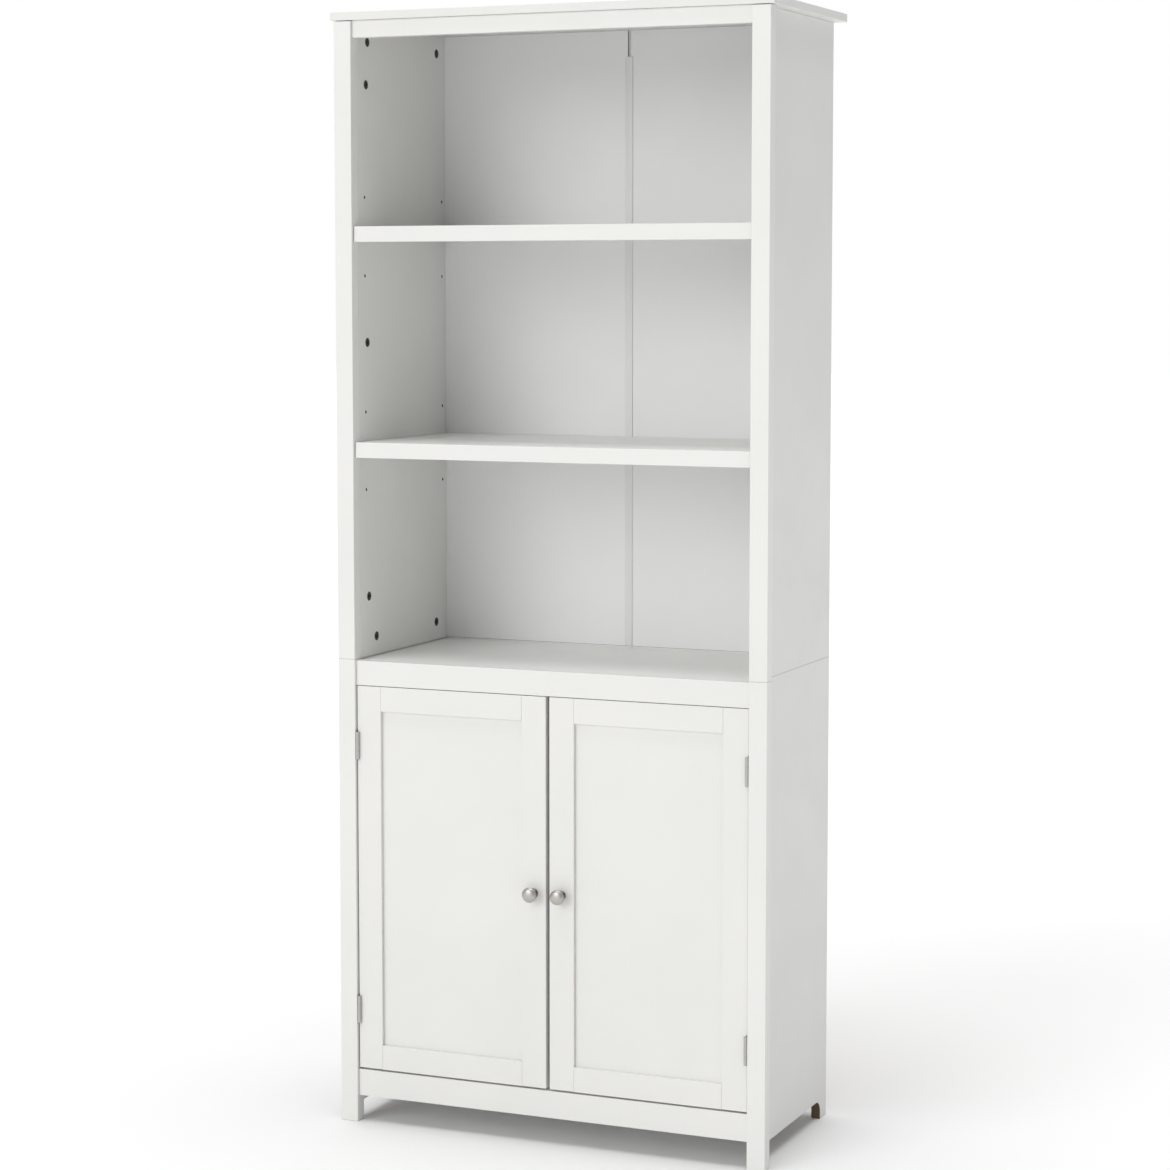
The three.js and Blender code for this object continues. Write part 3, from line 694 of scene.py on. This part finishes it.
# Shelf pins: turned steel pegs, nickel plated, with a thin shank in the side and a thicker
# head under the shelf, its end chamfered. One node tree turns a peg on each pin's point.
def turned_peg_tree():
    """A peg of turned bands between two discs, set on points."""
    tree, given = piece_tree("turned_pegs", (
        ("Shank radius", 0.0025),
        ("Shank length", 0.008),
        ("Head radius", 0.0035),
        ("Head length", 0.008),
        ("Chamfer", 0.0008),
    ))
    nodes, links = tree.nodes, tree.links
    shank, head, chamfer = given["Shank radius"], given["Head radius"], given["Chamfer"]
    foot = nodes.new("ShaderNodeValue").outputs[0]
    foot.default_value = 0.0
    collar = given["Shank length"]
    peak = calculated(tree, "ADD", collar, given["Head length"])
    shoulder = calculated(tree, "SUBTRACT", peak, chamfer)
    crown = calculated(tree, "SUBTRACT", head, chamfer)
    skin = nodes.new("GeometryNodeJoinGeometry")
    profile = ((shank, foot), (shank, collar), (head, collar), (head, shoulder), (crown, peak))
    for (radius, height), (next_radius, next_height) in zip(profile, profile[1:]):
        band = nodes.new("GeometryNodeMeshCone")
        band.fill_type = "NONE"
        links.new(given["Sides"], band.inputs["Vertices"])
        links.new(radius, band.inputs["Radius Bottom"])
        links.new(next_radius, band.inputs["Radius Top"])
        links.new(calculated(tree, "SUBTRACT", next_height, height), band.inputs["Depth"])
        links.new(raised(tree, band.outputs["Mesh"], height), skin.inputs["Geometry"])
    for radius, height, underneath in ((shank, foot, True), (crown, peak, False)):
        disc = nodes.new("GeometryNodeMeshCircle")
        disc.fill_type = "NGON"
        links.new(given["Sides"], disc.inputs["Vertices"])
        links.new(radius, disc.inputs["Radius"])
        cap = disc.outputs["Mesh"]
        if underneath:
            turned_over = nodes.new("GeometryNodeFlipFaces")
            links.new(cap, turned_over.inputs["Mesh"])
            cap = turned_over.outputs["Mesh"]
        links.new(raised(tree, cap, height), skin.inputs["Geometry"])
    sealed = new_node(tree, "GeometryNodeMergeByDistance", Distance=1e-5)
    links.new(skin.outputs["Geometry"], sealed.inputs["Geometry"])
    set_on_points(tree, given, sealed.outputs["Geometry"])
    return tree


pin_nickel = metal("pin_nickel", (0.42, 0.41, 0.39), (0.55, 0.54, 0.52), (0.28, 0.4))
pin_nodes = sorted(node for node in frame["nodes"] if "_pin_" in node)
pin_spots = []
for node in pin_nodes:
    low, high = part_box(node)
    start, inward = (low.x, 1.0) if low.x < 0 else (high.x, -1.0)
    pin_spots.append(((start, (low.y + high.y) / 2, (low.z + high.z) / 2), (inward, 0.0, 0.0)))
low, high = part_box(pin_nodes[-1])
pin_radius, pin_length = (high.z - low.z) / 2, high.x - low.x
pin_shank = 0.0083
pins = grown_mesh("shelf_pins_turned", pin_spots, turned_peg_tree(), {
    "Shank radius": 0.0025,
    "Shank length": pin_shank,
    "Head radius": pin_radius,
    "Head length": pin_length - pin_shank,
    "Chamfer": 0.0008,
    "Material": pin_nickel,
})
link_piece("shelf_pins_turned", pins, "case", "shelf_pin", *pin_nodes)


# Knobs: solid turned metal with a satin nickel finish. The lathe's tool leaves fine rings on
# the domed head, which flares from a narrow neck above a small round base. The colour darkens
# into the neck as painted shade.
def wall_between(shape, near, far):
    """Faces between two rings of as many corners."""
    for index in range(len(near)):
        after = (index + 1) % len(near)
        shape.faces.new((near[index], near[after], far[after], far[index]))


def outward_mesh(name, shape):
    """The finished bmesh as a mesh, with its faces turned outwards."""
    bmesh.ops.recalc_face_normals(shape, faces=shape.faces)
    return mesh_of(name, shape)


def turned_mesh(name, profile, centre, axis, steps):
    """A closed turned shape. The profile gives radius and height along the axis, from pole to pole."""
    shape = bmesh.new()
    axis = Vector(axis)
    across = axis.orthogonal().normalized()
    beside = axis.cross(across)
    angles = [math.tau * step / steps for step in range(steps)]
    spokes = [across * math.cos(angle) + beside * math.sin(angle) for angle in angles]
    rings = []
    for radius, height in profile:
        middle = Vector(centre) + axis * height
        corners = spokes if radius else spokes[:1]
        rings.append([shape.verts.new(middle + spoke * radius) for spoke in corners])
    for near, far in zip(rings, rings[1:]):
        if 1 not in (len(near), len(far)):
            wall_between(shape, near, far)
            continue
        pole, ring = (near[0], far) if len(near) == 1 else (far[0], near)
        for corner, after in zip(ring, ring[1:] + ring[:1]):
            shape.faces.new((pole, corner, after))
    return smoothed(outward_mesh(name, shape), sharp_from=32)


def turned_nickel(name, centre, shade_full_height, shade_end_height):
    """Satin nickel with brushed rings round its axis, and painted shade darkening it into the neck."""
    material, tree, shader = new_material(name, metallic=1.0)
    place = tree.nodes.new("ShaderNodeTexCoord")
    centred = new_node(tree, "ShaderNodeMapping", Location=(-centre.x, 0.0, -centre.z))
    tree.links.new(place.outputs["Object"], centred.inputs["Vector"])
    parts = tree.nodes.new("ShaderNodeSeparateXYZ")
    tree.links.new(centred.outputs["Vector"], parts.inputs["Vector"])
    flat = tree.nodes.new("ShaderNodeCombineXYZ")
    for axis in ("X", "Z"):
        tree.links.new(parts.outputs[axis], flat.inputs[axis])
    noise = new_node(tree, "ShaderNodeTexNoise", Scale=3400.0, Detail=2.0)
    noise.noise_dimensions = "1D"
    tree.links.new(length_of(tree, flat.outputs["Vector"]), noise.inputs["W"])
    rings = noise.outputs["Fac"]
    # Painted shade: the colour darkens from the head down into the neck.
    neck_shade_ramp = spread(tree, parts.outputs["Y"], 0.45, 0.0, centre.y - shade_end_height, centre.y - shade_full_height)
    tone = calculated(tree, "ADD", neck_shade_ramp, spread(tree, rings, 0.1, 0.4))
    colour = ramp(tree, tone, (0.1, 0.095, 0.085), (0.63, 0.61, 0.57), 0.0, 1.0)
    coat(tree, shader, colour, spread(tree, rings, 0.33, 0.46), relief(tree, rings, 0.000012))
    return material


def knob_profile(reach):
    """Radius and height of the knob from the door's face outwards."""
    base, base_height, base_bevel, base_round = 0.0076, 0.002, 0.0003, 0.0004
    neck, neck_start, neck_end, fillet = 0.0052, 0.0045, 0.007, 0.0008
    head, rim, lip, lip_round, lip_turn = 0.012, 0.0185, 0.0018, 0.0002, 0.0005
    flare_steps, dome_steps = 8, 14
    points = [(0, 0), (base - base_bevel, 0), (base, base_bevel)]
    points += [(base, base_height - base_round), (base - base_round, base_height)]
    points += [(neck + fillet, base_height + fillet / 8), (neck + fillet / 4, base_height + fillet)]
    points += [(neck, neck_start), (neck, neck_end)]
    flare_radius, flare_height = head - lip_round - neck, rim - lip - neck_end
    for step in range(1, flare_steps + 1):
        angle = math.pi / 2 * step / flare_steps
        radius = neck + flare_radius * (1 - math.cos(angle))
        points.append((radius, neck_end + flare_height * math.sin(angle)))
    points += [(head - lip_round / 4, rim - lip + lip_turn), (head, rim - lip + 2 * lip_turn)]
    for step in range(dome_steps):
        angle = math.pi / 2 * step / dome_steps
        points.append((head * math.cos(angle), rim + (reach - rim) * math.sin(angle)))
    return points + [(0, reach)]


def rear_middle(node):
    """Middle of the rear face of a node's box."""
    low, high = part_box(node)
    return Vector(((low.x + high.x) / 2, high.y, (low.z + high.z) / 2))


for side in ("left", "right"):
    low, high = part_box(f"{side}_knob")
    foot = rear_middle(f"{side}_knob")
    knob = turned_mesh(f"{side}_knob_turned", knob_profile(high.y - low.y), foot, (0, -1, 0), steps=64)
    knob.materials.append(turned_nickel(f"{side}_knob_nickel", foot, shade_full_height=0.009, shade_end_height=0.0168))
    link_piece(f"{side}_knob_turned", knob, f"{side}_door", "knob_nickel", f"{side}_knob")


# Knob screws: zinc-plated machine screws through the lock stile, with a pan head and a cross
# recess on the back of the door.
def joined(name, meshes, *finishes):
    """Several meshes as one, with its own material slots."""
    shape = bmesh.new()
    for mesh in meshes:
        shape.from_mesh(mesh)
    whole = mesh_of(name, shape)
    for finish in finishes:
        whole.materials.append(finish)
    return smoothed(whole, sharp_from=32)


bright_zinc = metal("bright_zinc", (0.52, 0.52, 0.50), (0.66, 0.66, 0.645), (0.25, 0.4))
knob_screw_radius = 0.002
point_length = 0.0004
pan_height = 0.0022
to_the_back = (0.0, 1.0, 0.0)
for side, seed in (("left", 3), ("right", 5)):
    node = f"{side}_knob_screw"
    low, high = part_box(node)
    rear = rear_middle(node)
    length = high.y - pan_height - low.y
    profile = [(0, 0), (knob_screw_radius - point_length / 4, 0), (knob_screw_radius, point_length)]
    profile += [(knob_screw_radius, length), (0, length)]
    shank = turned_mesh(node + "_shank", profile, (rear.x, low.y, rear.z), (0, 1, 0), steps=16)
    pan = head_mesh(
        node + "_head", [((rear.x, high.y - pan_height, rear.z), to_the_back)], bright_zinc,
        head_radius=0.0044, crown_radius=0.0036, head_height=pan_height,
        recess_length=0.0044, recess_width=0.0009, recess_depth=0.0014,
        sides=32, seed=seed,
    )
    screw = joined(node + "_turned", [pan, shank], bright_zinc)
    link_piece(node + "_turned", screw, f"{side}_door", "screw_steel", node)


# Hinges: pressed steel butts, nickel plated. Each leaf is one strip, rolled round the pin at
# its knuckles: two on the post's leaf, and the middle one on the door's.
def prism_mesh(name, outline, bottom, top, place):
    """An outline in a plane, as a closed prism between two levels; place turns x, y, z into a point."""
    shape = bmesh.new()
    below = [shape.verts.new(place(x, y, bottom)) for x, y in outline]
    above = [shape.verts.new(place(x, y, top)) for x, y in outline]
    wall_between(shape, below, above)
    shape.faces.new(below[::-1])
    shape.faces.new(above)
    return outward_mesh(name, shape)


def drilled_plate(name, near_x, far_x, holes, mouth, throat, place, steps=24):
    """A flat plate with countersunk holes, wide at the near face and narrow at the far one.

    Each hole comes with the stretch of the plate round it: its two z limits and the hole's z.
    """
    middle_y = (plate_front + leaf_back) / 2
    half_y = (leaf_back - plate_front) / 2
    ends = (min(hole[0] for hole in holes), max(hole[1] for hole in holes))
    tiny = 1e-9
    shape = bmesh.new()
    for low_z, high_z, hole_z in holes:
        corners = [math.atan2(z - hole_z, y) for y in (-half_y, half_y) for z in (low_z, high_z)]
        angles = sorted(corners + [math.tau * step / steps - math.pi for step in range(steps)])
        rings = []
        for face_x, radius in ((near_x, mouth), (far_x, throat)):
            hole_ring, edge_ring = [], []
            for angle in angles:
                along, up = math.cos(angle), math.sin(angle)
                across = half_y / abs(along) if abs(along) > tiny else 1.0
                upright = ((high_z if up > 0 else low_z) - hole_z) / up if abs(up) > tiny else 1.0
                for ring, reach in ((hole_ring, radius), (edge_ring, min(across, upright))):
                    spot = place(face_x, middle_y + reach * along, hole_z + reach * up)
                    ring.append(shape.verts.new(spot))
            rings += [hole_ring, edge_ring]
        near_hole, near_edge, far_hole, far_edge = rings
        shared_levels = [level for level in (low_z, high_z) if level not in ends]
        for index in range(len(angles)):
            after = (index + 1) % len(angles)
            shape.faces.new((near_hole[index], near_hole[after], near_edge[after], near_edge[index]))
            shape.faces.new((far_edge[index], far_edge[after], far_hole[after], far_hole[index]))
            shape.faces.new((near_hole[index], far_hole[index], far_hole[after], near_hole[after]))
            heights = (near_edge[index].co.z, near_edge[after].co.z)
            if not any(all(abs(z - level) < 1e-6 for z in heights) for level in shared_levels):
                shape.faces.new((near_edge[after], far_edge[after], far_edge[index], near_edge[index]))
    bmesh.ops.remove_doubles(shape, verts=shape.verts, dist=2e-6)
    return outward_mesh(name, shape)


def arc(radius, start, end, steps):
    """Points on a circle round the pin, between two angles in degrees."""
    angles = [math.radians(start + (end - start) * step / steps) for step in range(steps + 1)]
    return [(radius * math.cos(angle), radius * math.sin(angle)) for angle in angles]


def rolled_knuckle(inner, outer, back, knuckle, bore):
    """Cross-section of a leaf rolled round its pin, with the narrow slit where the roll ends."""
    meets = math.degrees(math.acos(outer / knuckle)) if outer < knuckle else 0.0
    leaves = math.degrees(math.acos(inner / knuckle))
    slit = 7.0
    points = [(outer, back)]
    points += arc(knuckle, meets, leaves + slit - 360.0, steps=28)
    points += arc(bore, leaves + slit, leaves + 360.0, steps=24)
    points += [(inner, math.sqrt(knuckle ** 2 - inner ** 2)), (inner, back)]
    return points


hinge_nickel = metal("hinge_nickel", (0.45, 0.445, 0.43), (0.50, 0.495, 0.48), (0.26, 0.36), grain=900.0)
pin_steel = metal("pin_steel", (0.16, 0.155, 0.15), (0.24, 0.235, 0.225), (0.35, 0.5))
knuckle_radius = 0.0028
knuckle_bore = 0.00148
hinge_pin_radius = 0.0014
pin_tip_radius = 0.0009
pin_tip_height = 0.0004
plate_front = 0.0032
leaf_back = 0.0172
knuckle_gap = 0.0003
hole_from_end = 0.008
countersink = 0.0029
hole_radius = 0.0017
post_leaf_x = (0.0020, 0.0029)
door_leaf_x = (0.0007, 0.0016)
joint_places = {joint["child"]: joint["pos_m"] for joint in frame["joints"]}


def hinge_line(side):
    """The direction from the door to its post, and the x and y of the door's pins."""
    x, y, _ = joint_places[f"{side}_door"]
    return (-1.0 if side == "left" else 1.0), x, y


for side in ("left", "right"):
    outward, pin_x, pin_y = hinge_line(side)

    def at_pin(x, y, z):
        return (pin_x + outward * x, pin_y + y, z)

    for level in ("lower", "upper"):
        post_node = f"{side}_{level}_hinge_post_leaf"
        door_node = f"{side}_{level}_hinge_door_leaf"
        low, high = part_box(post_node)
        tall = high.z - low.z
        centre_z = low.z + tall / 2
        middle_low, middle_high = low.z + (tall + knuckle_gap) / 3, high.z - (tall + knuckle_gap) / 3
        holes = [(low.z, centre_z, low.z + hole_from_end), (centre_z, high.z, high.z - hole_from_end)]

        post_roll = rolled_knuckle(*post_leaf_x, plate_front, knuckle_radius, knuckle_bore)
        tip = [(0, -pin_tip_height), (pin_tip_radius, -pin_tip_height), (hinge_pin_radius, 0.0)]
        pin_profile = tip + [(radius, tall - height) for radius, height in reversed(tip)]
        pin = turned_mesh("pin", pin_profile, at_pin(0, 0, low.z), (0, 0, 1), steps=20)
        for face in pin.polygons:
            face.material_index = 1
        post_leaf = joined(post_node + "_rolled", [
            prism_mesh("roll", post_roll, low.z, middle_low - knuckle_gap, at_pin),
            prism_mesh("roll", post_roll, middle_high + knuckle_gap, high.z, at_pin),
            drilled_plate("plate", *post_leaf_x, holes, countersink, hole_radius, at_pin),
            pin,
        ], hinge_nickel, pin_steel)
        link_piece(post_node + "_rolled", post_leaf, "case", "hinge_steel", post_node)

        door_roll = rolled_knuckle(*door_leaf_x, plate_front, knuckle_radius, knuckle_bore)
        door_leaf = joined(door_node + "_rolled", [
            prism_mesh("roll", door_roll, middle_low, middle_high, at_pin),
            drilled_plate("plate", *reversed(door_leaf_x), holes, countersink, hole_radius, at_pin),
        ], hinge_nickel)
        link_piece(door_node + "_rolled", door_leaf, f"{side}_door", "hinge_steel", door_node)


# Hinge screws: small countersunk screws of bright zinc, two through each leaf, with their heads
# just below its face so that the leaves can close on each other.
for side in ("left", "right"):
    outward, pin_x, pin_y = hinge_line(side)
    case_spots, door_spots = [], []
    for level in ("lower", "upper"):
        low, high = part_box(f"{side}_{level}_hinge_post_leaf")
        for z in (low.z + hole_from_end, high.z - hole_from_end):
            y = pin_y + (plate_front + leaf_back) / 2
            case_spots.append(((pin_x + outward * post_leaf_x[1], y, z), (-outward, 0.0, 0.0)))
            door_spots.append(((pin_x + outward * door_leaf_x[0], y, z), (outward, 0.0, 0.0)))
    for body, spots, seed in (("case", case_spots, 11), (f"{side}_door", door_spots, 17)):
        fastener_heads(
            f"{side}_hinge_screws_{body}", spots, bright_zinc, body,
            head_radius=0.0012, crown_radius=0.0025, head_height=0.0008,
            recess_length=0.0028, recess_width=0.0006, recess_depth=0.0005,
            sides=24, seed=seed,
        )


# Magnetic catch on the cabinet's floor: a moulded white housing on a screwed base, with two
# pairs of steel pole plates that just stand out of its front for the two doors.
def pole_steel():
    material, tree, shader = new_material("pole_steel", metallic=1.0)
    drawn = object_noise(tree, 500.0, detail=3.0, stretch=(0.05, 1.0, 1.0))
    colour = ramp(tree, drawn, (0.36, 0.355, 0.345), (0.5, 0.495, 0.48))
    coat(tree, shader, colour, spread(tree, drawn, 0.3, 0.5))
    return material


def rounded_plate(name, centre, width, height, radius, thickness, corner_steps=6):
    """A flat plate across Y with rounded corners and a small chamfer on its front."""
    half_x, half_z = width / 2 - radius, height / 2 - radius
    outline = []
    for x, z, start in (
        (half_x, half_z, 0),
        (-half_x, half_z, 90),
        (-half_x, -half_z, 180),
        (half_x, -half_z, 270),
    ):
        for step in range(corner_steps + 1):
            angle = math.radians(start + 90 * step / corner_steps)
            outline.append((x, z, math.cos(angle), math.sin(angle)))
    shape = bmesh.new()
    chamfer = thickness * 0.3
    rings = []
    for rounding, depth in ((radius, thickness), (radius, chamfer), (radius - chamfer, 0.0)):
        spots = [(x + rounding * cos_a, depth, z + rounding * sin_a) for x, z, cos_a, sin_a in outline]
        rings.append([shape.verts.new(Vector(centre) + Vector(spot)) for spot in spots])
    for near, far in zip(rings, rings[1:]):
        wall_between(shape, near, far)
    shape.faces.new(rings[0][::-1])
    shape.faces.new(rings[-1])
    return outward_mesh(name, shape)


finished_piece("magnetic_catch", white_plastic("catch_plastic"), ease=0.0007, slot="catch_plastic")
catch_low, catch_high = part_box("magnetic_catch")
pole_offset = 0.0125
pole_levels = (0.0045, 0.0095)
pole_stand_out = 0.0001
pole_meshes = []
for x in (-pole_offset, pole_offset):
    for level in pole_levels:
        spot = (x, catch_low.y - pole_stand_out, catch_low.z + level)
        plate = rounded_plate("pole", spot, width=0.014, height=0.0016, radius=0.0006, thickness=0.0006)
        pole_meshes.append(plate)
poles = joined("catch_pole_plates", pole_meshes, pole_steel())
link_piece("catch_pole_plates", poles, "case", "strike_steel")
ear_inset = 0.0045
ear_thickness = 0.0025
ear_y = (catch_low.y + catch_high.y) / 2
ear_spots = [
    ((sign * (catch_high.x - ear_inset), ear_y, catch_low.z + ear_thickness), (0.0, 0.0, 1.0))
    for sign in (-1, 1)
]
fastener_heads(
    "catch_screws", ear_spots, bright_zinc,
    head_radius=0.0031, crown_radius=0.0022, head_height=0.0014,
    recess_length=0.0034, recess_width=0.0007, recess_depth=0.0009,
    sides=24, seed=23,
)


# Strike plates on the backs of the doors: stamped zinc-plated steel, each held by one small
# countersunk screw.
for side, seed in (("left", 29), ("right", 31)):
    node = f"{side}_strike_plate"
    finished_piece(node, bright_zinc, ease=0.0003, body=f"{side}_door", slot="strike_steel")
    fastener_heads(
        f"{side}_strike_screw", [(rear_middle(node), to_the_back)], bright_zinc, f"{side}_door",
        head_radius=0.0027, crown_radius=0.0023, head_height=0.00015,
        recess_length=0.0028, recess_width=0.0006, recess_depth=0.0001,
        sides=24, seed=seed,
    )


# Nails of the back boards: small flat heads every ten centimetres into the rear edges of the
# sides, and into the fixed shelf and the floor of the cabinet.
nail_spacing = 0.1
rear_edge_x = 0.3465
nail_end_inset = 0.02
nail_row_inset = 0.09
floor_nail_height = 0.0075
shelf_nail_drop = 0.0095


def nail_row(start, end):
    """Nails from start to end at about the usual spacing, with one at both ends."""
    start, end = Vector(start), Vector(end)
    gaps = max(1, round((end - start).length / nail_spacing))
    return [(start.lerp(end, step / gaps), to_the_back) for step in range(gaps + 1)]


nails = []
for node in back_boards:
    low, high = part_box(node)
    for x in (-rear_edge_x, rear_edge_x):
        if low.x < x < high.x:
            nails += nail_row((x, high.y, low.z + nail_end_inset), (x, high.y, high.z - nail_end_inset))
low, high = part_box("cabinet_back")
row_reach = rear_edge_x - nail_row_inset
for level in (low.z + floor_nail_height, high.z - shelf_nail_drop):
    nails += nail_row((-row_reach, high.y, level), (row_reach, high.y, level))
fastener_heads(
    "back_board_nails", nails, bright_zinc, tree=fastener_tree("nail_heads", recessed=False),
    head_radius=0.0021, crown_radius=0.0017, head_height=0.0004,
    sides=20, seed=41,
)
